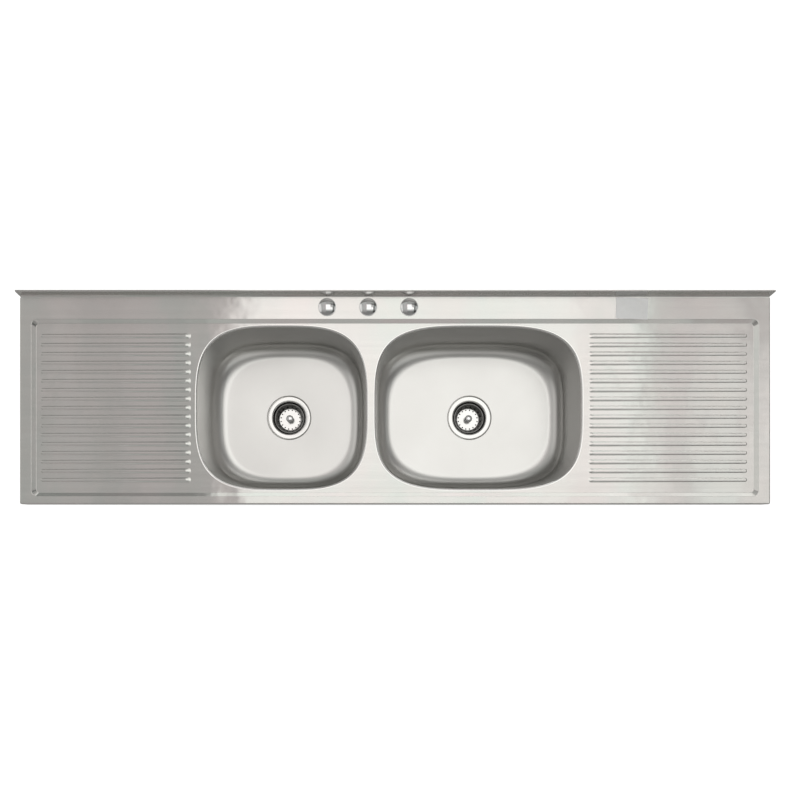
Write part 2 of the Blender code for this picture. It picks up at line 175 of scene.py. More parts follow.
def rounded_rectangle(left, near, right, far, radius, steps=8):
    """The outline of a panel whose left side has x below 0 and whose right side has x above 0."""
    outline = []
    for x, y, start in ((right, near, -90), (right, far, 0), (left, far, 90), (left, near, 180)):
        centre_x = x - math.copysign(radius, x)
        centre_y = y + radius if y == near else y - radius
        for i in range(steps + 1):
            turn = math.radians(start + 90 * i / steps)
            outline.append((centre_x + radius * math.cos(turn), centre_y + radius * math.sin(turn)))
    return outline


def stadium(left, right, y, radius, steps=12, flare=(0, 0)):
    """A slot's outline; flare widens its left and right ends."""
    outline = []
    for x, start, extra in ((right, -90, flare[1]), (left, 90, flare[0])):
        for i in range(steps + 1):
            turn = math.radians(start + 180 * i / steps)
            outline.append((x + (radius + extra) * math.cos(turn), y + (radius + extra) * math.sin(turn)))
    return outline


def superellipse(x, y, half_x, half_y, power, count=160):
    """An oval that grows squarer with its power; a power of 2 gives an ellipse or a circle."""
    outline = []
    for i in range(count):
        c, s = math.cos(math.tau * i / count), math.sin(math.tau * i / count)
        reach = (abs(c / half_x) ** power + abs(s / half_y) ** power) ** (-1 / power)
        outline.append((x + reach * c, y + reach * s))
    return outline


# Plan of the bowl openings: the two bowls give the centres and the half sizes.
rim_power = {"left": 3.35, "right": 3.6}
bowl_centre, bowl_half = {}, {}
for side in rim_power:
    low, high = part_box(side + "_bowl")
    bowl_centre[side] = (low + high) / 2
    bowl_half[side] = (high - low) / 2 - Vector((sheet_thickness, sheet_thickness, 0))


def bowl_outline(side, inset, power=None):
    """The opening's outline, drawn in by the inset."""
    at, half = bowl_centre[side], bowl_half[side]
    return superellipse(at.x, at.y, half.x - inset, half.y - inset, power or rim_power[side])


worktop = bmesh.new()
support = 0.5 * MM  # a flat margin beside every bend keeps the shading of the flats true
rim_plane, panel_plane = [], []

side_margin, front_margin, panel_corner = 28 * MM, 19 * MM, 15 * MM
panel_edges = (-half_length + side_margin, front + front_margin, half_length - side_margin, ledge_front)
step_slope, step_bend = math.radians(38), 1.6 * MM
steps_down = press_bend(rim_z - panel_z, step_slope, step_bend)
step_run = steps_down[-1][0]
step_rings = []
for run, fall in [(-support, 0)] + steps_down + [(step_run + support, rim_z - panel_z)]:
    edges = [edge + sign * run for edge, sign in zip(panel_edges, (1, 1, -1, -1))]
    step_rings.append(ring(worktop, rounded_rectangle(*edges, panel_corner - run / 2), rim_z - fall))
skin(worktop, step_rings)
rim_plane.append(step_rings[0])
panel_plane.append(step_rings[-1])

bead_rows, bead_pitch, bead_width, bead_height = 17, 22 * MM, 10 * MM, 2.2 * MM
bead_ends = ((-0.866, -0.499), (0.473, 0.861))
bead_slope, bead_bend = math.radians(50), 1.2 * MM
bead_side = press_bend(bead_height, bead_slope, bead_bend)
bead_run = bead_side[-1][0]
run_out, end_spread = 9 * MM, 1.6 * MM  # each bead fades out and widens at its end by the bowls
for left, right in bead_ends:
    for row in range(bead_rows):
        y = bowl_centre["left"].y + (row - (bead_rows - 1) / 2) * bead_pitch
        ends = (left + bead_width / 2, right - bead_width / 2, y)
        crown = bead_width / 2 - bead_run
        rings = []
        for run, fall in [(-crown / 2, 0)] + bead_side + [(bead_run + support, bead_height)]:
            held_back = run_out * (1 - fall / bead_height)
            spread = end_spread * fall / bead_height
            if left < 0:
                outline = stadium(ends[0], ends[1] - held_back - spread, y, crown + run, flare=(0, spread))
            else:
                outline = stadium(ends[0] + held_back + spread, ends[1], y, crown + run, flare=(spread, 0))
            rings.append(ring(worktop, outline, panel_z + bead_height - fall))
        skin(worktop, rings)
        flat_fill(worktop, rings[:1])
        panel_plane.append(rings[-1])

lip_radius, lip_depth = 4 * MM, 6 * MM
for side in rim_power:
    rings = [ring(worktop, bowl_outline(side, -lip_radius - support), panel_z)]
    panel_plane.append(rings[0])
    for i in range(11):
        turn = math.radians(9 * i)
        outline = bowl_outline(side, lip_radius * (math.sin(turn) - 1))
        rings.append(ring(worktop, outline, panel_z - lip_radius * (1 - math.cos(turn))))
    rings.append(ring(worktop, bowl_outline(side, 0), panel_z - lip_depth))
    skin(worktop, rings, finish=1)
flat_fill(worktop, panel_plane)

tap_hole_radius = 17.5 * MM
taps = ("left", "centre", "right")
tap_places = {}
for tap in taps:
    low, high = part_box(tap + "_tap_hole_cover")
    tap_places[tap] = (low + high) / 2
    hole = stadium(tap_places[tap].x, tap_places[tap].x, tap_places[tap].y, tap_hole_radius, 24)
    rim_plane.append(ring(worktop, hole[:24] + hole[25:49], rim_z))

# The outer edge runs down the left side, along the front and up the right side.
plan_corner = 2 * MM
reach = half_length - fold_radius
cove = 4 * MM
rear = foot - cove - support
edge_path = [(-reach, rear, -1, 0)]
for hand, start in ((-1, 180), (1, 270)):
    for i in range(7):
        turn = math.radians(start + 15 * i)
        c, s = math.cos(turn), math.sin(turn)
        x = hand * (reach - plan_corner) + plan_corner * c
        edge_path.append((x, front + fold_radius + plan_corner * (1 + s), c, s))
edge_path.append((reach, rear, 1, 0))

edge_section = []
for i in range(7):
    turn = math.radians(15 * i)
    edge_section.append((fold_radius * math.sin(turn), rim_z - fold_radius * (1 - math.cos(turn))))
hem_bend = 2 * MM
for i in range(7):
    turn = math.radians(15 * i)
    edge_section.append((fold_radius - hem_bend * (1 - math.cos(turn)), hem_bend * (1 - math.sin(turn))))
return_width = 22 * MM
edge_section.append((fold_radius - return_width, 0))


def edge_row(out, z):
    """One line along the folded edge, mitred at the corners where it turns in under the sheet."""
    row = []
    for x, y, dx, dy in edge_path:
        if out < -plan_corner and dy:
            x, y = math.copysign(reach, x), front + fold_radius
            dx, dy = math.copysign(1, x), -1
        row.append(worktop.verts.new((x + out * dx, y + out * dy, z)))
    return row


edge_rows = [edge_row(-support, rim_z)] + [edge_row(out, z) for out, z in edge_section]
skin(worktop, edge_rows, closed=False)
flat_fill(worktop, [edge_rows[0]] + rim_plane)

lean = 3 * MM
roll = 2.2 * MM
rear_return = 12 * MM
roll_z = sheet_high.z - roll
upstand = [(rear, rim_z, 0)]
for i in range(7):
    turn = math.radians(15 * i)
    upstand.append((foot - cove * (1 - math.sin(turn)), rim_z + cove * (1 - math.cos(turn)), i / 6))
for i in range(13):
    turn = math.radians(15 * i)
    upstand.append((foot + lean + roll * (1 - math.cos(turn)), roll_z + roll * math.sin(turn), 1))
upstand.append((upstand[-1][0], roll_z - rear_return, 1))
upstand_rows = []
for y, z, flare in upstand:
    end = reach + fold_radius * flare
    places = (-end, -reach + support, reach - support, end)
    upstand_rows.append([worktop.verts.new((x, y, z)) for x in places])
skin(worktop, upstand_rows, closed=False)
worktop_piece = sheet_metal(worktop, "worktop_sheet", sheet_thickness)


def node(tree, kind, **values):
    """Adds a shader node. Names in lower case are its settings, the others are inputs, linked or set."""
    made = tree.nodes.new("ShaderNode" + kind)
    for name, value in values.items():
        if name[0].islower():
            setattr(made, name, value)
        elif isinstance(value, bpy.types.NodeSocket):
            tree.links.new(value, made.inputs[name.replace("_", " ")])
        else:
            made.inputs[name.replace("_", " ")].default_value = value
    return made


def sum_of(tree, operation, *terms):
    """The output of one Math node."""
    made = tree.nodes.new("ShaderNodeMath")
    made.operation = operation
    for socket, term in zip(made.inputs, terms):
        if isinstance(term, bpy.types.NodeSocket):
            tree.links.new(term, socket)
        else:
            socket.default_value = term
    return made.outputs[0]


def shader_group(name, inputs, outputs):
    """A node group with float inputs and outputs; returns it with the sockets to build between."""
    group = bpy.data.node_groups.new(name, "ShaderNodeTree")
    for title, value in inputs.items():
        socket = group.interface.new_socket(name=title, in_out="INPUT", socket_type="NodeSocketFloat")
        socket.default_value = value
    for title in outputs:
        group.interface.new_socket(name=title, in_out="OUTPUT", socket_type="NodeSocketFloat")
    return group, group.nodes.new("NodeGroupInput").outputs, group.nodes.new("NodeGroupOutput").inputs


def placed(tree, group, **values):
    """A node group placed in a material, with its own values."""
    made = tree.nodes.new("ShaderNodeGroup")
    made.node_tree = group
    for title, value in values.items():
        made.inputs[title].default_value = value
    return made.outputs


# Grain left by the belt: long fine scratches along X, in bundles that vary in depth.
grain, given, give = shader_group("belt_grain", {"Lines": 900.0, "Stretch": 0.012}, ("Scratches", "Bands"))
where = node(grain, "TexCoord").outputs["Object"]
spread = node(grain, "SeparateXYZ", Vector=where)
along = sum_of(grain, "MULTIPLY", spread.outputs["X"], given["Stretch"])
fine_place = node(grain, "CombineXYZ", X=along, Y=spread.outputs["Y"], Z=spread.outputs["Z"])
scratches = node(grain, "TexNoise", Vector=fine_place.outputs[0], Scale=given["Lines"], Detail=3.0)
band_scale = sum_of(grain, "MULTIPLY", given["Lines"], 0.06)
bands = node(grain, "TexNoise", Vector=fine_place.outputs[0], Scale=band_scale, Detail=2.0)
grain.links.new(scratches.outputs["Fac"], give["Scratches"])
grain.links.new(bands.outputs["Fac"], give["Bands"])

# Bloom: soft cloudy marks from handling, rolling and cleaning.
bloom, given, give = shader_group("handling_bloom", {"Size": 5.0, "Contrast": 1.0}, ("Clouds",))
where = node(bloom, "TexCoord").outputs["Object"]
clouds = node(bloom, "TexNoise", Vector=where, Scale=given["Size"], Detail=2.0, Roughness=0.45)
centred = sum_of(bloom, "SUBTRACT", clouds.outputs["Fac"], 0.5)
scaled = sum_of(bloom, "MULTIPLY", centred, given["Contrast"])
bloom.links.new(sum_of(bloom, "ADD", scaled, 0.5), give["Clouds"])


def colour_between(tree, shade, dark, light):
    """A colour that runs from dark to light as the shade goes from 0 to 1."""
    mix = node(tree, "Mix", data_type="RGBA")
    tree.links.new(shade, mix.inputs[0])
    mix.inputs[6].default_value = (*dark, 1)
    mix.inputs[7].default_value = (*light, 1)
    return mix.outputs[2]


def product(tree, first, second):
    """One colour multiplied by another."""
    mix = node(tree, "Mix", data_type="RGBA", blend_type="MULTIPLY")
    mix.inputs[0].default_value = 1.0
    tree.links.new(first, mix.inputs[6])
    tree.links.new(second, mix.inputs[7])
    return mix.outputs[2]


def value_between(tree, shade, low, high):
    return node(tree, "MapRange", Value=shade, To_Min=low, To_Max=high).outputs[0]


def new_finish(name, metallic=1.0, roughness=0.3):
    """A new material, with its node tree and its shader."""
    made = bpy.data.materials.new(name)
    made.use_nodes = True
    shader = made.node_tree.nodes["Principled BSDF"]
    shader.inputs["Metallic"].default_value = metallic
    shader.inputs["Roughness"].default_value = roughness
    return made, made.node_tree, shader


def bumped(tree, shader, *layers):
    """Stacks bumps, each (height socket, strength, distance), into the shader's normal."""
    normal = None
    for height, strength, distance in layers:
        bump = node(tree, "Bump", Height=height, Strength=strength, Distance=distance)
        if normal:
            tree.links.new(normal, bump.inputs["Normal"])
        normal = bump.outputs[0]
    tree.links.new(normal, shader.inputs["Normal"])


brushed_steel, tree, shader = new_finish("brushed_steel")
marks = placed(tree, grain, Lines=1500.0, Stretch=0.006)
cloud = placed(tree, bloom, Size=5.0, Contrast=1.4)
haze = placed(tree, bloom, Size=16.0, Contrast=1.8)
warm_or_cool = colour_between(tree, haze["Clouds"], (0.785, 0.765, 0.745), (0.760, 0.762, 0.745))
streaks = colour_between(tree, marks["Bands"], (0.95, 0.95, 0.95), (1.05, 1.05, 1.05))
tree.links.new(product(tree, warm_or_cool, streaks), shader.inputs["Base Color"])
tree.links.new(value_between(tree, marks["Scratches"], 0.13, 0.19), shader.inputs["Roughness"])
shader.inputs["Anisotropic"].default_value = 1.0
across = node(tree, "CombineXYZ", X=0.0, Y=1.0, Z=0.0)
tree.links.new(across.outputs[0], shader.inputs["Tangent"])
bumped(tree, shader, (cloud["Clouds"], 1.0, 0.0012), (haze["Clouds"], 1.0, 0.00025),
       (marks["Scratches"], 0.09, 0.00002))

# The weld round each bowl is ground flush and polished, which leaves a bright ring; its lighter colour is
# also a painted highlight on the rounded lip.
lip_polish_and_highlight, tree, shader = new_finish("lip_polish_and_highlight", roughness=0.18)
marks = placed(tree, bloom, Size=60.0, Contrast=1.0)
tree.links.new(colour_between(tree, marks["Clouds"], (0.90, 0.895, 0.885), (0.96, 0.955, 0.945)),
               shader.inputs["Base Color"])
tree.links.new(value_between(tree, marks["Clouds"], 0.12, 0.20), shader.inputs["Roughness"])
worktop_piece.data.materials.append(brushed_steel)
worktop_piece.data.materials.append(lip_polish_and_highlight)
fitted(worktop_piece, "sink", "pressed_steel", "worktop")


# The bowls: deep-drawn from 1 mm sheet, satin inside, with a drafted wall, a wide fillet and a floor that
# falls to a recess for the strainer. Each is welded to the lip of its opening.
draft, fillet, floor_power, floor_fall = 9 * MM, 36 * MM, 3.0, 3 * MM
recess_radius, recess_depth, drain_radius = 60 * MM, 2.5 * MM, 46 * MM
recess_slope, recess_bend = math.radians(45), 1.5 * MM
satin_steel, tree, shader = new_finish("satin_steel")
cloud = placed(tree, bloom, Size=9.0, Contrast=1.2)
speck = placed(tree, bloom, Size=900.0, Contrast=1.5)
satin = colour_between(tree, cloud["Clouds"], (0.86, 0.85, 0.835), (0.94, 0.935, 0.92))
specked = colour_between(tree, speck["Clouds"], (0.97, 0.97, 0.97), (1.03, 1.03, 1.03))
# Painted shade: the walls' colour is darkened by the way they face, so they read duller than the floor,
# least so on the wall that faces right.
facing = node(tree, "SeparateXYZ", Vector=node(tree, "NewGeometry").outputs["Normal"]).outputs
rightward = sum_of(tree, "MULTIPLY", sum_of(tree, "MAXIMUM", facing["X"], 0.0), 0.93)
facing_light = sum_of(tree, "ADD", facing["Z"], rightward)
wall_shade_share = node(tree, "MapRange", Value=facing_light, From_Min=0.72, From_Max=1.03)
wall_shade_share.interpolation_type = "SMOOTHSTEP"
painted_wall_shade = colour_between(tree, wall_shade_share.outputs[0], (0.57, 0.57, 0.565), (1.0, 1.0, 1.0))
tree.links.new(product(tree, product(tree, satin, specked), painted_wall_shade), shader.inputs["Base Color"])
tree.links.new(value_between(tree, speck["Clouds"], 0.28, 0.36), shader.inputs["Roughness"])
bumped(tree, shader, (speck["Clouds"], 0.10, 0.00003))

drain_seat = {}
for side in rim_power:
    low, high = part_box(side + "_bowl")
    drain_seat[side] = Vector((bowl_centre[side].x, bowl_centre[side].y, low.z + sheet_thickness))
floor_z = drain_seat["left"].z + recess_depth + floor_fall


def floor_outline(side, share):
    """A line on the bowl's floor, from the recess at 0 to the foot of the wall at 1, and its height."""
    at = drain_seat[side]
    line = []
    for x, y in bowl_outline(side, draft + fillet, floor_power):
        away = Vector((x - at.x, y - at.y))
        drain = away.normalized() * recess_radius
        line.append((at.x + drain.x + (away.x - drain.x) * share,
                     at.y + drain.y + (away.y - drain.y) * share))
    return line, floor_z - floor_fall * (1 - share)


for side in rim_power:
    at = drain_seat[side]
    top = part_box(side + "_bowl")[1].z
    wall_foot = floor_z + fillet
    bm = bmesh.new()
    rings = []
    for i in range(9):
        share = i / 8
        rings.append(ring(bm, bowl_outline(side, draft * share), top + (wall_foot - top) * share))
    for i in range(1, 19):
        turn = math.radians(5 * i)
        power = rim_power[side] + (floor_power - rim_power[side]) * math.sin(turn)
        outline = bowl_outline(side, draft + fillet * (1 - math.cos(turn)), power)
        rings.append(ring(bm, outline, floor_z + fillet * (1 - math.sin(turn))))
    for share in (0.9, 0.6, 0.3, 0.03, 0):
        rings.append(ring(bm, *floor_outline(side, share)))
    for run, fall in press_bend(recess_depth, recess_slope, recess_bend):
        reached = recess_radius - run - 0.2 * MM
        rings.append(ring(bm, superellipse(at.x, at.y, reached, reached, 2), at.z + recess_depth - fall))
    for radius in (54 * MM, drain_radius):
        rings.append(ring(bm, superellipse(at.x, at.y, radius, radius, 2), at.z))
    skin(bm, rings)
    bowl = sheet_metal(bm, side + "_bowl_pressing", sheet_thickness)
    bowl.data.materials.append(satin_steel)
    fitted(bowl, "sink", "bowl_steel", side + "_bowl")


# The sound pads: 3 mm of bitumen felt, cut to a ring and stuck hot under each bowl's floor to deaden the
# noise of water.
bitumen, tree, shader = new_finish("bitumen_felt", metallic=0.0)
speck = placed(tree, bloom, Size=1400.0, Contrast=2.0)
cloud = placed(tree, bloom, Size=18.0, Contrast=1.5)
tree.links.new(colour_between(tree, speck["Clouds"], (0.020, 0.020, 0.022), (0.060, 0.060, 0.064)),
               shader.inputs["Base Color"])
tree.links.new(value_between(tree, cloud["Clouds"], 0.75, 0.95), shader.inputs["Roughness"])
bumped(tree, shader, (speck["Clouds"], 0.6, 0.0002), (cloud["Clouds"], 0.5, 0.002))
pad_gap = 1.4 * MM
pad_section = ((0.12, 0.4), (0.125, 0), (0.70, 0), (0.72, 0.6), (0.72, 2.2), (0.70, 3), (0.14, 3),
               (0.12, 2.4))
for side in rim_power:
    bm = bmesh.new()
    rows = []
    for share, drop in pad_section:
        outline, z = floor_outline(side, share)
        rows.append(ring(bm, outline, z - pad_gap - drop * MM))
    skin(bm, rows + rows[:1])
    pad = solid(bm, side + "_deadening_pad")
    pad.data.materials.append(bitumen)
    fitted(pad, "sink", "sound_pad", side + "_sound_pad")


# The strainer bodies: a cup drawn from polished stainless sheet, whose flange beds on the recess in the
# bowl's floor. A plated outlet with four waterways is pressed onto its foot and threaded for the waste pipe.
def eased(profile, closed, soften):
    """The profile with each corner rounded."""
    points = []
    for i, place in enumerate(profile):
        corner = Vector(place)
        if not closed and i in (0, len(profile) - 1):
            points.append(corner)
            continue
        before = Vector(profile[i - 1]) - corner
        after = Vector(profile[(i + 1) % len(profile)]) - corner
        start = corner + before.normalized() * min(soften, 0.45 * before.length)
        end = corner + after.normalized() * min(soften, 0.45 * after.length)
        for t in (0.0, 0.33, 0.67, 1.0):
            points.append(start.lerp(corner, t).lerp(corner.lerp(end, t), t))
    return points


def turned(name, profile, at, steps=96, soften=0.3, lobe=None, lobed_beyond=0.0):
    """A turned piece from (radius, height) points in millimetres, measured from its seat.

    A profile that starts on the axis is solid; any other closes into a ring. lobe(turn) is added to the
    radius of the points beyond lobed_beyond.
    """
    closed = profile[0][0] > 0
    bm = bmesh.new()
    rows = []
    for radius, height in eased(profile, closed, soften):
        row = []
        for i in range(steps):
            turn = math.tau * i / steps
            reached = radius + (lobe(turn) if lobe and radius > lobed_beyond else 0)
            across, away = reached * MM * math.cos(turn), reached * MM * math.sin(turn)
            row.append(bm.verts.new((across, away, height * MM)))
        rows.append(row)
    if closed:
        rows.append(rows[0])
    skin(bm, rows)
    obj = solid(bm, name)
    obj.location = at
    return obj


def thread(radius, top, bottom, pitch=1.6, depth=0.6):
    """The points of a V thread down the outside of a turned profile."""
    points = []
    for i in range(int((top - bottom) / pitch)):
        height = top - pitch * i
        points += [(radius, height - 0.15 * pitch), (radius - depth, height - 0.6 * pitch)]
    return points


# Marks left by turning and buffing: fine circles round each piece's own axis.
lathe_marks, given, give = shader_group("lathe_marks", {"Rings": 2500.0}, ("Marks",))
where = node(lathe_marks, "TexCoord").outputs["Object"]
spread = node(lathe_marks, "SeparateXYZ", Vector=where)
from_axis = sum_of(lathe_marks, "SQRT", sum_of(
    lathe_marks, "ADD",
    sum_of(lathe_marks, "MULTIPLY", spread.outputs["X"], spread.outputs["X"]),
    sum_of(lathe_marks, "MULTIPLY", spread.outputs["Y"], spread.outputs["Y"])))
cut_place = node(lathe_marks, "CombineXYZ", X=from_axis, Z=spread.outputs["Z"])
cuts = node(lathe_marks, "TexNoise", Vector=cut_place.outputs[0], Scale=given["Rings"], Detail=2.0)
lathe_marks.links.new(cuts.outputs["Fac"], give["Marks"])


def turned_metal(name, dark, light, smooth, rough, rings, wear_size=70.0):
    """A turned and polished metal with its lathe marks and a faint bloom."""
    made, tree, shader = new_finish(name)
    rounds = placed(tree, lathe_marks, Rings=rings)
    cloud = placed(tree, bloom, Size=wear_size, Contrast=1.5)
    tree.links.new(colour_between(tree, cloud["Clouds"], dark, light), shader.inputs["Base Color"])
    wear = sum_of(tree, "ADD", sum_of(tree, "MULTIPLY", rounds["Marks"], 0.5),
                  sum_of(tree, "MULTIPLY", cloud["Clouds"], 0.5))
    tree.links.new(value_between(tree, wear, smooth, rough), shader.inputs["Roughness"])
    bumped(tree, shader, (rounds["Marks"], 0.12, 0.00002))
    return made


strainer_polish = turned_metal("strainer_polish", (0.84, 0.835, 0.825), (0.92, 0.915, 0.905),
                               0.12, 0.24, 2200.0)
# The dark steel is partly unpolished pressing and partly painted shade, darkening the inside of each
# strainer cup and the basket walls.
shaded_unpolished = turned_metal("unpolished_painted_shade", (0.22, 0.22, 0.215), (0.34, 0.335, 0.325),
                          0.30, 0.45, 1500.0)
plated_metal = turned_metal("dull_plate", (0.50, 0.49, 0.46), (0.66, 0.65, 0.62), 0.30, 0.50, 1500.0)
cup_outside = [(57, 1.2), (57, 0.4), (45.5, 0.3), (44, -1.2), (44, -38), (40.3, -48.5), (37, -52.6),
               (18, -52.6)]
cup_inside = [(18, -51), (36, -51), (38.5, -47), (42, -36), (42.5, -5), (43.3, -1.6), (44.6, 1.0),
              (46.4, 2.0), (53.5, 2.15), (55.8, 2.1)]
body_thread = [(44, -4), *thread(44.2, -5, -36), (44, -37)]
outlet_thread = [(22.5, -55.5), *thread(22.5, -56, -71)]
spigot = [(26, -52.9), (26, -54.9), *outlet_thread, (22.5, -72), (19.5, -72), (19.5, -55.9), (4.2, -55.9),
          (4.2, -52.9)]
waterways, waterway_radius, waterway_ring, waterway_z = 4, 5.3 * MM, 12 * MM, -55 * MM
shade_below = -1.5 * MM  # below the flange the cup is as it came from the press, and its hollow is darkened: painted shade
for side in rim_power:
    at = drain_seat[side]
    section = cup_outside[:4] + body_thread + cup_outside[4:] + cup_inside
    cup = turned(side + "_strainer_cup", section, at, steps=128)
    cup.data.materials.append(strainer_polish)
    cup.data.materials.append(shaded_unpolished)
    for face in cup.data.polygons:
        face.material_index = int(face.center.z < shade_below)
    fitted(cup, "sink", "strainer_steel", side + "_strainer_body")
    outlet = turned(side + "_outlet_blank", spigot, at)
    drills = bmesh.new()
    for i in range(waterways):
        turn = math.tau * i / waterways
        x, y = waterway_ring * math.cos(turn), waterway_ring * math.sin(turn)
        spot = Matrix.Translation((x, y, waterway_z))
        bmesh.ops.create_cone(drills, cap_ends=True, segments=32, radius1=waterway_radius,
                              radius2=waterway_radius, depth=20 * MM, matrix=spot)
    outlet = cut(outlet, drills, side + "_outlet_spigot")
    outlet.data.materials.append(plated_metal)
    fitted(outlet, "sink", "nut_metal", side + "_strainer_outlet")


# The baskets: a cup pressed from thin stainless sheet, with sixteen holes round its floor and sixteen
# slots low in its fluted side. A chromed knob is screwed to a post that carries the rubber stopper.
basket_gauge = 0.8 * MM
slots, columns_per_slot = 16, 8
slot_top, slot_foot, basket_floor, basket_shade_above = -18 * MM, -30 * MM, -33 * MM, -31.5 * MM
holes, hole_ring, hole_radius = 16, 26 * MM, 1.9 * MM
basket_side = [(37.8, -9), (37.1, -11), (36.1, -14), (34.8, -18), (33.5, -22), (32.2, -26), (30.9, -30),
               (30.3, -31.8), (29.6, -32.7), (28.8, -33)]
knob_section = [(0, -10), (3.5, -10.15), (6.6, -10.9), (8.6, -12.2), (9.5, -13.9), (9.3, -15.6),
                (7.6, -18.3), (5.9, -20.6), (5.3, -23), (5.3, -27), (6.5, -30), (6.5, -32.7), (3.9, -32.7),
                (3.9, -22), (0, -22)]
post_section = [(0, -22.3), (3.6, -22.6), (3.6, -52), *thread(3.6, -53, -62, 1.2, 0.4), (3.6, -63.4),
                (2.6, -65), (0, -65)]
bell_section = [(9, -34.1), (9, -37), (8.4, -38), (9, -39), (9, -43), (14, -44.2), (19.4, -46.4),
                (20.5, -48.6), (20.2, -50.7), (17, -50.2), (13, -50.7), (3.9, -50.7), (3.9, -34.1)]
chrome = turned_metal("chrome_plate", (0.84, 0.845, 0.85), (0.91, 0.915, 0.92), 0.03, 0.09, 900.0)
rubber, tree, shader = new_finish("black_rubber", metallic=0.0)
speck = placed(tree, bloom, Size=1800.0, Contrast=1.5)
tree.links.new(colour_between(tree, speck["Clouds"], (0.012, 0.012, 0.012), (0.035, 0.035, 0.034)),
               shader.inputs["Base Color"])
tree.links.new(value_between(tree, speck["Clouds"], 0.55, 0.75), shader.inputs["Roughness"])
bumped(tree, shader, (speck["Clouds"], 0.3, 0.00005))
for side in rim_power:
    at = drain_seat[side]
    basket_body = side + "_strainer_basket"
    bm = bmesh.new()
    rows = [ring(bm, superellipse(0, 0, 39.9 * MM, 39.9 * MM, 2, slots * columns_per_slot), -9.4 * MM),
            ring(bm, superellipse(0, 0, 39.3 * MM, 39.3 * MM, 2, slots * columns_per_slot), -9 * MM)]
    for radius, height in basket_side:
        row = []
        for i in range(slots * columns_per_slot):
            turn = math.tau * i / (slots * columns_per_slot)
            flute = 0.45 * math.cos(slots * turn) * min(1, max(0, (-height - 12) / 8)) * (height > -32)
            reached = (radius - flute) * MM
            row.append(bm.verts.new((reached * math.cos(turn), reached * math.sin(turn), height * MM)))
        rows.append(row)
    skin(bm, rows)
    slot_faces = []
    for face in bm.faces:
        middle = face.calc_center_median()
        place = math.atan2(middle.y, middle.x) / math.tau * slots % 1
        if 0.375 < place < 0.625 and slot_foot < middle.z < slot_top:  # the middle quarter of each column
            slot_faces.append(face)
    bmesh.ops.delete(bm, geom=slot_faces, context="FACES")
    floor_rings = [rows[-1], ring(bm, superellipse(0, 0, 4 * MM, 4 * MM, 2, 32), basket_floor)]
    for i in range(holes):
        turn = math.tau * (i + 0.5) / holes
        x, y = hole_ring * math.cos(turn), hole_ring * math.sin(turn)
        floor_rings.append(ring(bm, superellipse(x, y, hole_radius, hole_radius, 2, 16), basket_floor))
    flat_fill(bm, floor_rings)
    basket = sheet_metal(bm, side + "_basket_cup", basket_gauge)
    basket.location = at
    basket.data.materials.append(strainer_polish)
    basket.data.materials.append(shaded_unpolished)
    # Painted shade: the basket's walls take the dark steel and only its floor the polished one.
    for face in basket.data.polygons:
        face.material_index = int(face.center.z > basket_shade_above)
    fitted(basket, basket_body, "strainer_steel", side + "_basket")

    knob = turned(side + "_pull_knob", knob_section, at, soften=0.5)
    knob.data.materials.append(chrome)
    fitted(knob, basket_body, "chrome", side + "_basket_knob")
    post = turned(side + "_stopper_post", post_section, at, steps=48)
    post.data.materials.append(strainer_polish)
    fitted(post, basket_body, "strainer_steel", side + "_basket_post")
    stopper = turned(side + "_rubber_stopper", bell_section, at, soften=0.6)
    stopper.data.materials.append(rubber)
    fitted(stopper, side + "_stopper", "rubber", side + "_basket_stopper")


# Under each bowl: a rubber gasket and a fibre ring are squeezed against the recess by a cast lock nut on the
# strainer's thread, and a ribbed plastic coupling nut pulls the flanged tailpiece up to the outlet.
fibre, tree, shader = new_finish("pressed_fibre", metallic=0.0)
speck = placed(tree, bloom, Size=500.0, Contrast=2.0)
tree.links.new(colour_between(tree, speck["Clouds"], (0.20, 0.13, 0.075), (0.34, 0.24, 0.15)),
               shader.inputs["Base Color"])
tree.links.new(value_between(tree, speck["Clouds"], 0.8, 0.95), shader.inputs["Roughness"])
bumped(tree, shader, (speck["Clouds"], 0.5, 0.0001))
moulded, tree, shader = new_finish("moulded_white", metallic=0.0)
speck = placed(tree, bloom, Size=700.0, Contrast=1.0)
cloud = placed(tree, bloom, Size=45.0, Contrast=1.2)
tree.links.new(colour_between(tree, cloud["Clouds"], (0.72, 0.715, 0.70), (0.80, 0.80, 0.79)),
               shader.inputs["Base Color"])
tree.links.new(value_between(tree, speck["Clouds"], 0.32, 0.46), shader.inputs["Roughness"])
bumped(tree, shader, (speck["Clouds"], 0.15, 0.00004))


def lugs(turn):
    """Six square lugs round the lock nut, for a spanner."""
    return 5 * min(1, max(0, 0.5 + 2.2 * math.cos(6 * (turn - math.tau / 48))))


def finger_grooves(turn):
    """Eight grooves round the coupling nut, for the fingers."""
    return -2.5 * max(0, math.cos(8 * turn)) ** 3


gasket_section = [(56, -1.4), (56, -4.2), (44.8, -4.2), (44.8, -1.4)]
fibre_section = [(55, -4.5), (55, -5.5), (44.8, -5.5), (44.8, -4.5)]
nut_thread = [(radius + 0.9, height) for radius, height in reversed(thread(44.5, -6.5, -17))]
nut_section = [(55, -5.8), (55, -18), (50, -18), (50, -16), (46.5, -16), (45.6, -18), *nut_thread,
               (45.6, -5.8)]
cone_section = [(21.8, -72.3), (21.8, -74.3), (17.5, -74.3), (17.5, -72.3)]
pipe_section = [(22, -74.6), (22, -76.6), (18.6, -76.6), (18.6, -160), (18.9, -161), (18.6, -162),
                (18.6, -174.6), (17, -174.6), (17, -74.6)]
coupling_thread = [(radius + 0.9, height) for radius, height in reversed(thread(22.9, -61, -75))]
coupling_section = [(28, -60), (29, -61), (29, -77.5), (27.5, -79.2), (19, -79.2), (19, -76.9),
                    (23.8, -76.9), *coupling_thread, (23.8, -60)]
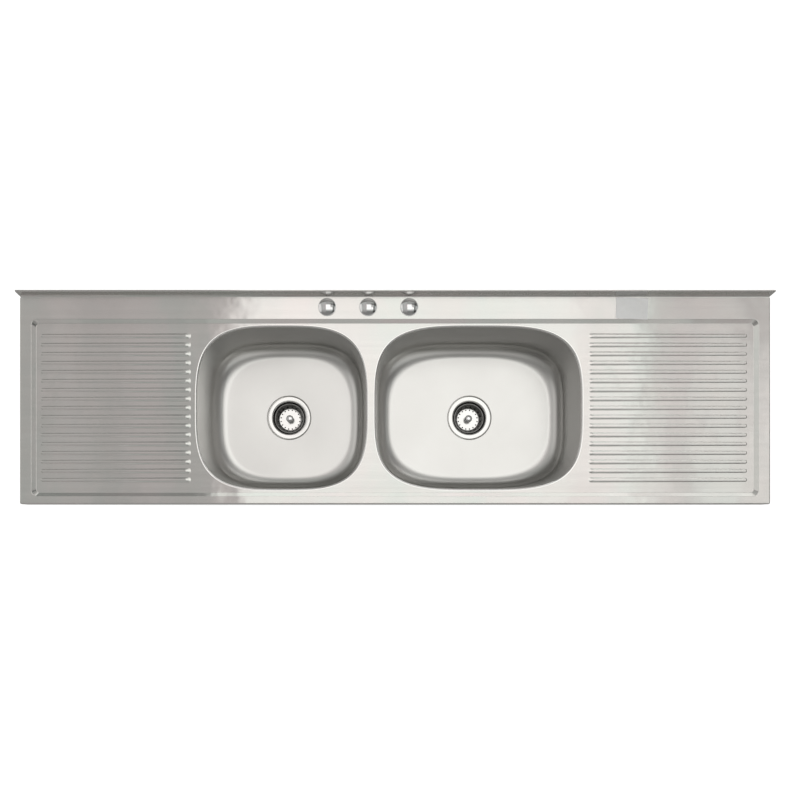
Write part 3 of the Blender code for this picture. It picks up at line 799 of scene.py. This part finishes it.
for side in rim_power:
    at = drain_seat[side]
    gasket = turned(side + "_flange_gasket", gasket_section, at, soften=0.6)
    gasket.data.materials.append(rubber)
    fitted(gasket, "sink", "rubber", side + "_strainer_gasket")
    washer = turned(side + "_fibre_ring", fibre_section, at, soften=0.15)
    washer.data.materials.append(fibre)
    fitted(washer, "sink", "fibre", side + "_friction_ring")
    nut = turned(side + "_cast_lock_nut", nut_section, at, steps=192, soften=0.5,
                 lobe=lugs, lobed_beyond=54)
    nut.data.materials.append(plated_metal)
    fitted(nut, "sink", "nut_metal", side + "_lock_nut")
    seal = turned(side + "_cone_washer", cone_section, at, soften=0.5)
    seal.data.materials.append(rubber)
    fitted(seal, "sink", "rubber", side + "_tailpiece_washer")
    tailpiece = turned(side + "_waste_pipe", pipe_section, at, soften=0.4)
    tailpiece.data.materials.append(chrome)
    fitted(tailpiece, "sink", "chrome", side + "_tailpiece")
    coupling = turned(side + "_ribbed_nut", coupling_section, at, steps=192, soften=0.6,
                      lobe=finger_grooves, lobed_beyond=27)
    coupling.data.materials.append(moulded)
    fitted(coupling, "sink", "white_plastic", side + "_coupling_nut")


# The tap-hole covers: chromed domes with a rolled edge, each on a thin rubber seal. A stud through the hole
# takes a washer and a wing nut that are done up by hand from below.
dome_height, dome_radius, dome_curve = 7, 20.7, 44.0
dome = [(0, dome_height)]
for i in range(1, 13):
    reached = dome_radius * i / 12
    dome.append((reached, dome_height - dome_curve + math.sqrt(dome_curve ** 2 - reached ** 2)))
cover_profile = dome + [(21.4, 1.75), (21.6, 1.5), (21.6, 1.35), (5, 1.4), *thread(5, 0.5, -29, 1.25, 0.5),
                        (4.4, -30), (0, -30)]
seal_section = [(20.8, 1.3), (20.8, 0.3), (5.4, 0.3), (5.4, 1.3)]
backing_section = [(21, -1.3), (21, -2.6), (19.5, -2.8), (8, -2.2), (5.4, -2.2), (5.4, -1.3)]
hub_section = [(8, -3.1), (9, -4), (8.2, -11), (5.6, -11), (5.6, -3.1)]
wing_outline = [(7, -5.5), (12, -5.2), (17, -5.6), (19, -8), (18.6, -12), (16, -14.6), (13, -14.8),
                (10.5, -12.5), (7, -10)]
wing_half, wing_soften = 1.4, 0.7 * MM
for tap in taps:
    at = Vector((tap_places[tap].x, tap_places[tap].y, rim_z))
    cover = turned(tap + "_domed_cover", cover_profile, at, soften=0.25)
    cover.data.materials.append(chrome)
    fitted(cover, "sink", "chrome", tap + "_tap_hole_cover")
    seal = turned(tap + "_dome_seal", seal_section, at, soften=0.3)
    seal.data.materials.append(rubber)
    fitted(seal, "sink", "rubber", tap + "_cover_seal")
    washer = turned(tap + "_backing_washer", backing_section, at, soften=0.3)
    washer.data.materials.append(strainer_polish)
    fitted(washer, "sink", "pressed_steel", tap + "_cover_washer")
    hub = turned(tap + "_wing_hub", hub_section, at, soften=0.5)
    wings = bmesh.new()
    for hand in (-1, 1):
        faces = []
        for y in (-wing_half, wing_half):
            corners = [wings.verts.new((hand * x * MM, y * MM, z * MM)) for x, z in wing_outline]
            faces.append(corners)
            wings.faces.new(corners)
        skin(wings, faces)
    bmesh.ops.recalc_face_normals(wings, faces=wings.faces)
    sharp = [edge for edge in wings.edges if edge.calc_face_angle(0) > 1]
    bmesh.ops.bevel(wings, geom=sharp, offset=wing_soften, segments=3, affect="EDGES")
    wing_nut = cut(hub, wings, tap + "_wing_nut", operation="UNION")
    wing_nut.data.materials.append(plated_metal)
    fitted(wing_nut, "sink", "nut_metal", tap + "_cover_wing_nut")


# The supports: top-hat channels under the drainers and Z rails under the ledge, folded from 1.2 mm
# galvanised sheet and spot-welded to the underside, so that the sheet doesn't drum or sag.
zinc, tree, shader = new_finish("zinc_spangle", metallic=1.0)
crystals = node(tree, "TexVoronoi", Vector=node(tree, "TexCoord").outputs["Object"], Scale=130.0)
spangle = node(tree, "SeparateColor", Color=crystals.outputs["Color"]).outputs[0]
cloud = placed(tree, bloom, Size=25.0, Contrast=1.5)
tree.links.new(colour_between(tree, spangle, (0.42, 0.44, 0.46), (0.60, 0.62, 0.64)),
               shader.inputs["Base Color"])
tree.links.new(value_between(tree, cloud["Clouds"], 0.38, 0.58), shader.inputs["Roughness"])
bumped(tree, shader, (spangle, 0.15, 0.0001), (cloud["Clouds"], 0.4, 0.0006))


def folded_strip(name, path, thickness, bend, start, end, along):
    """A strip folded along a middle line of (across, height) points and run from start to end."""
    line = eased(path, False, bend)
    sides = ([], [])
    for i, point in enumerate(line):
        ahead = line[min(i + 1, len(line) - 1)] - line[max(i - 1, 0)]
        off = Vector((-ahead.y, ahead.x)).normalized() * thickness / 2
        sides[0].append(point + off)
        sides[1].append(point - off)
    bm = bmesh.new()
    rows = []
    for run in (start, end):
        for half in sides:
            if along == "X":
                rows.append([bm.verts.new((run, p.x, p.y)) for p in half])
            else:
                rows.append([bm.verts.new((p.x, run, p.y)) for p in half])
    skin(bm, [rows[0], rows[1], rows[3], rows[2], rows[0]], closed=False)
    for last in (0, -1):
        bm.faces.new((rows[0][last], rows[1][last], rows[3][last], rows[2][last]))
    return solid(bm, name)


gauge, strip_bend = 1.2 * MM, 2 * MM
rail_foot, rail_shelf, channel_half, channel_web = 24 * MM, 20 * MM, 32 * MM, 18 * MM
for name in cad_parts:
    if "_channel_" not in name and not name.endswith("_rail"):
        continue
    low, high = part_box(name)
    if name.endswith("_rail"):
        path = [(low.y + rail_foot, gauge / 2), (low.y + gauge / 2, gauge / 2),
                (low.y + gauge / 2, high.z - gauge / 2), (low.y + rail_shelf, high.z - gauge / 2)]
        strip = folded_strip(name + "_fold", path, gauge, strip_bend, low.x, high.x, "X")
    else:
        x, brim, web = (low.x + high.x) / 2, channel_half, channel_web + gauge / 2
        upper, lower = high.z - gauge / 2, low.z + gauge / 2
        path = [(x - brim, upper), (x - web, upper), (x - web, lower), (x + web, lower), (x + web, upper),
                (x + brim, upper)]
        strip = folded_strip(name + "_fold", path, gauge, strip_bend, low.y, high.y, "Y")
    strip.data.materials.append(zinc)
    fitted(strip, "sink", "galvanised", name)


# The earth tag: a small stainless angle, spot-welded behind the left drainer, whose hole takes the screw of
# the bonding wire.
low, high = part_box("earth_tag")
tag_gauge, tag_bend, screw_radius, screw_height = 1 * MM, 1.2 * MM, 2.6 * MM, 7 * MM
tag_path = [(high.x - tag_gauge / 2, low.z), (high.x - tag_gauge / 2, high.z - tag_gauge / 2),
            (low.x, high.z - tag_gauge / 2)]
tag = folded_strip("earth_angle", tag_path, tag_gauge, tag_bend, low.y, high.y, "Y")
drill = bmesh.new()
hole_middle = Matrix.Translation((high.x, (low.y + high.y) / 2, low.z + screw_height))
hole_at = hole_middle @ Matrix.Rotation(math.pi / 2, 4, "Y")
bmesh.ops.create_cone(drill, cap_ends=True, segments=32, radius1=screw_radius, radius2=screw_radius,
                      depth=8 * MM, matrix=hole_at)
tag = cut(tag, drill, "earth_angle_tag")
tag.data.materials.append(strainer_polish)
fitted(tag, "sink", "pressed_steel", "earth_tag")


# The label: a blank pale film stuck on the ledge at the right, with one corner just lifting.
low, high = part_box("label")
label_middle = (low + high) / 2
label_half = (high - low) / 2
film_gauge, film_trim, film_peel = 0.12 * MM, 0.99, 0.9 * MM
film_turn = math.radians(-2)
bm = bmesh.new()
rows, rows_across, rows_along = [], 14, 20
for j in range(rows_across + 1):
    row = []
    for i in range(rows_along + 1):
        u, v = 2 * i / rows_along - 1, 2 * j / rows_across - 1
        peel = max(0, u * 0.6 + v * 0.6 - 0.75) ** 2 * film_peel
        row.append(bm.verts.new((u * label_half.x * film_trim, v * label_half.y * film_trim, peel)))
    rows.append(row)
skin(bm, rows, closed=False)
label = sheet_metal(bm, "blank_label", film_gauge)
label.location = (label_middle.x, label_middle.y, low.z + film_gauge)
label.rotation_euler.z = film_turn
film, tree, shader = new_finish("pale_film", metallic=0.75)
cloud = placed(tree, bloom, Size=60.0, Contrast=1.5)
tree.links.new(colour_between(tree, cloud["Clouds"], (0.74, 0.745, 0.75), (0.82, 0.825, 0.83)),
               shader.inputs["Base Color"])
tree.links.new(value_between(tree, cloud["Clouds"], 0.25, 0.40), shader.inputs["Roughness"])
shader.inputs["Coat Weight"].default_value = 0.3
bumped(tree, shader, (cloud["Clouds"], 0.3, 0.0004))
label.data.materials.append(film)
fitted(label, "sink", "label_film", "label")


# The studio: a pale floor, a soft bright ceiling and a camera straight above the sink.
floor_mesh = bpy.data.meshes.new("studio_floor")
floor_half, ground = 12.0, cad_box[0].z - 3 * MM
floor_corners = [(x * floor_half, y * floor_half, ground) for x, y in ((-1, -1), (1, -1), (1, 1), (-1, 1))]
floor_mesh.from_pydata(floor_corners, [], [(0, 1, 2, 3)])
floor = bpy.data.objects.new("studio_floor", floor_mesh)
bpy.context.scene.collection.objects.link(floor)
pale, tree, shader = new_finish("pale_floor", metallic=0.0, roughness=0.9)
shader.inputs["Base Color"].default_value = (0.62, 0.62, 0.62, 1)
shader.inputs["Emission Color"].default_value = (1, 1, 1, 1)
floor_glow = 0.85  # seen by the camera only, so that the steel mirrors a duller floor
seen = node(tree, "LightPath").outputs["Is Camera Ray"]
tree.links.new(sum_of(tree, "MULTIPLY", seen, floor_glow), shader.inputs["Emission Strength"])
floor_mesh.materials.append(pale)

studio = bpy.data.worlds.new("studio")
bpy.context.scene.world = studio
studio.use_nodes = True
tree = studio.node_tree
direction = node(tree, "SeparateXYZ", Vector=node(tree, "TexCoord").outputs["Generated"])
sideways = direction.outputs["X"]
turn_to_wall = sum_of(tree, "ARCTAN2", direction.outputs["Y"], direction.outputs["Z"])
degrees_to_wall = sum_of(tree, "MULTIPLY", turn_to_wall, 180 / math.pi)


def light_along(place, low, high, stops):
    """A grey that follows the (place, grey) stops between low and high."""
    at = node(tree, "MapRange", Value=place, From_Min=low, From_Max=high)
    ramp = node(tree, "ValToRGB", Fac=at.outputs[0])
    ramp.color_ramp.interpolation = "EASE"
    elements = ramp.color_ramp.elements
    elements.remove(elements[-1])
    for number, (stop, grey) in enumerate(stops):
        position = (stop - low) / (high - low)
        element = elements[0] if number == 0 else elements.new(position)
        element.position = position
        element.color = (grey, grey, grey, 1)
    return ramp.outputs[0]


# Over the left drainer the ceiling is grey; from there to the right it is a bright panel.
over_left = light_along(degrees_to_wall, -180, 180, (
    (-180, 0.5), (-110, 0.42), (-70, 0.46), (-50, 0.44), (-38, 0.22), (-24, 0.22), (-12, 0.38), (-2, 0.47),
    (20, 0.47), (52, 0.43), (64, 0.10), (70, 0.12), (79, 0.52), (92, 0.12), (130, 0.06), (150, 0.2),
    (180, 0.4),
))
over_right = light_along(degrees_to_wall, -180, 180, (
    (-180, 0.5), (-110, 0.08), (-82, 0.10), (-66, 0.44), (-48, 0.62), (-37, 0.22), (-18, 0.20), (-8, 0.55),
    (-1, 1.20), (22, 1.20), (34, 0.34), (54, 0.36), (66, 1.18), (95, 1.20), (125, 1.1), (180, 0.5),
))
panel_edge = node(tree, "MapRange", Value=sideways, From_Min=-0.185, From_Max=-0.150)
panel_edge.interpolation_type = "SMOOTHSTEP"
overhead = node(tree, "Mix", data_type="RGBA")
for socket, value in zip((overhead.inputs[0], overhead.inputs[6], overhead.inputs[7]),
                         (panel_edge.outputs[0], over_left, over_right)):
    tree.links.new(value, socket)
# Towards the two sides the light falls off, and soft patches of warm and cool grey lie across it.
sides = light_along(sideways, -1, 1, (
    (-1, 0.6), (-0.84, 1.7), (-0.68, 1.7), (-0.56, 0.8), (-0.50, 1.0), (0.26, 1.0), (0.33, 0.90),
    (0.50, 0.92), (0.56, 0.20), (0.66, 0.20), (0.72, 0.38), (0.80, 0.38), (0.86, 0.12), (1, 0.1),
))
reach_of_sides = light_along(degrees_to_wall, -180, 180, (
    (-180, 0), (-45, 0), (-20, 1), (35, 1), (60, 0), (180, 0),
))
side_light = node(tree, "Mix", data_type="RGBA")
tree.links.new(reach_of_sides, side_light.inputs[0])
side_light.inputs[6].default_value = (1, 1, 1, 1)
tree.links.new(sides, side_light.inputs[7])
# The far right corner of the room, behind the sink, is in shade.
corner_side = light_along(sideways, -1, 1, ((-1, 0), (0.24, 0), (0.38, 1), (0.5, 1), (0.56, 0), (1, 0)))
corner_depth = light_along(degrees_to_wall, -180, 180, (
    (-180, 0), (8.5, 0), (15, 1), (30, 1), (45, 0), (180, 0),
))
corner_reach = product(tree, corner_side, corner_depth)
corner_shade = node(tree, "MapRange", Value=corner_reach, To_Min=1.0, To_Max=0.50)
patch_place = node(tree, "CombineXYZ", X=sum_of(tree, "MULTIPLY", sideways, 17.0),
                   Y=sum_of(tree, "MULTIPLY", turn_to_wall, 3.0))
patches = node(tree, "TexNoise", Vector=patch_place.outputs[0], Scale=1.0, Detail=1.5)
patch_depth = light_along(sideways, -1, 1, (
    (-1, 0.30), (-0.165, 0.28), (-0.15, 0.06), (0.22, 0.08), (0.32, 0.55), (1, 0.7),
))
patch_centred = sum_of(tree, "SUBTRACT", patches.outputs["Fac"], 0.5)
patch_swing = sum_of(tree, "MULTIPLY", sum_of(tree, "MULTIPLY", patch_centred, 3.0), patch_depth)
patch_light = sum_of(tree, "ADD", 1.0, patch_swing)
tint_place = node(tree, "CombineXYZ", X=sum_of(tree, "MULTIPLY", sideways, 13.0),
                  Y=sum_of(tree, "MULTIPLY", turn_to_wall, 1.5), Z=7.0)
tints = node(tree, "TexNoise", Vector=tint_place.outputs[0], Scale=1.0, Detail=0.0)
tint_share = node(tree, "MapRange", Value=tints.outputs["Fac"], From_Min=0.35, From_Max=0.65)
tint = colour_between(tree, tint_share.outputs[0], (0.95, 1.005, 0.955), (1.05, 0.98, 0.965))
room = product(tree, product(tree, overhead.outputs[2], side_light.outputs[2]), corner_shade.outputs[0])
room = product(tree, product(tree, room, patch_light), tint)
seen = node(tree, "LightPath").outputs["Is Camera Ray"]
backdrop = node(tree, "Mix", data_type="RGBA")
tree.links.new(seen, backdrop.inputs[0])
tree.links.new(room, backdrop.inputs[6])
backdrop.inputs[7].default_value = (0.97, 0.97, 0.97, 1)
tree.links.new(backdrop.outputs[2], tree.nodes["Background"].inputs["Color"])

camera_height = 1.85
camera = bpy.data.objects.new("camera", bpy.data.cameras.new("camera"))
bpy.context.scene.collection.objects.link(camera)
camera.location = (-0.061, -0.061, rim_z + camera_height)
camera.data.lens = 34.17
camera.data.sensor_width = 36
camera.data.shift_x = 0.0375
camera.data.shift_y = 0.156
camera.data.clip_end = 60
bpy.context.scene.camera = camera
bpy.context.scene.view_settings.view_transform = "Standard"
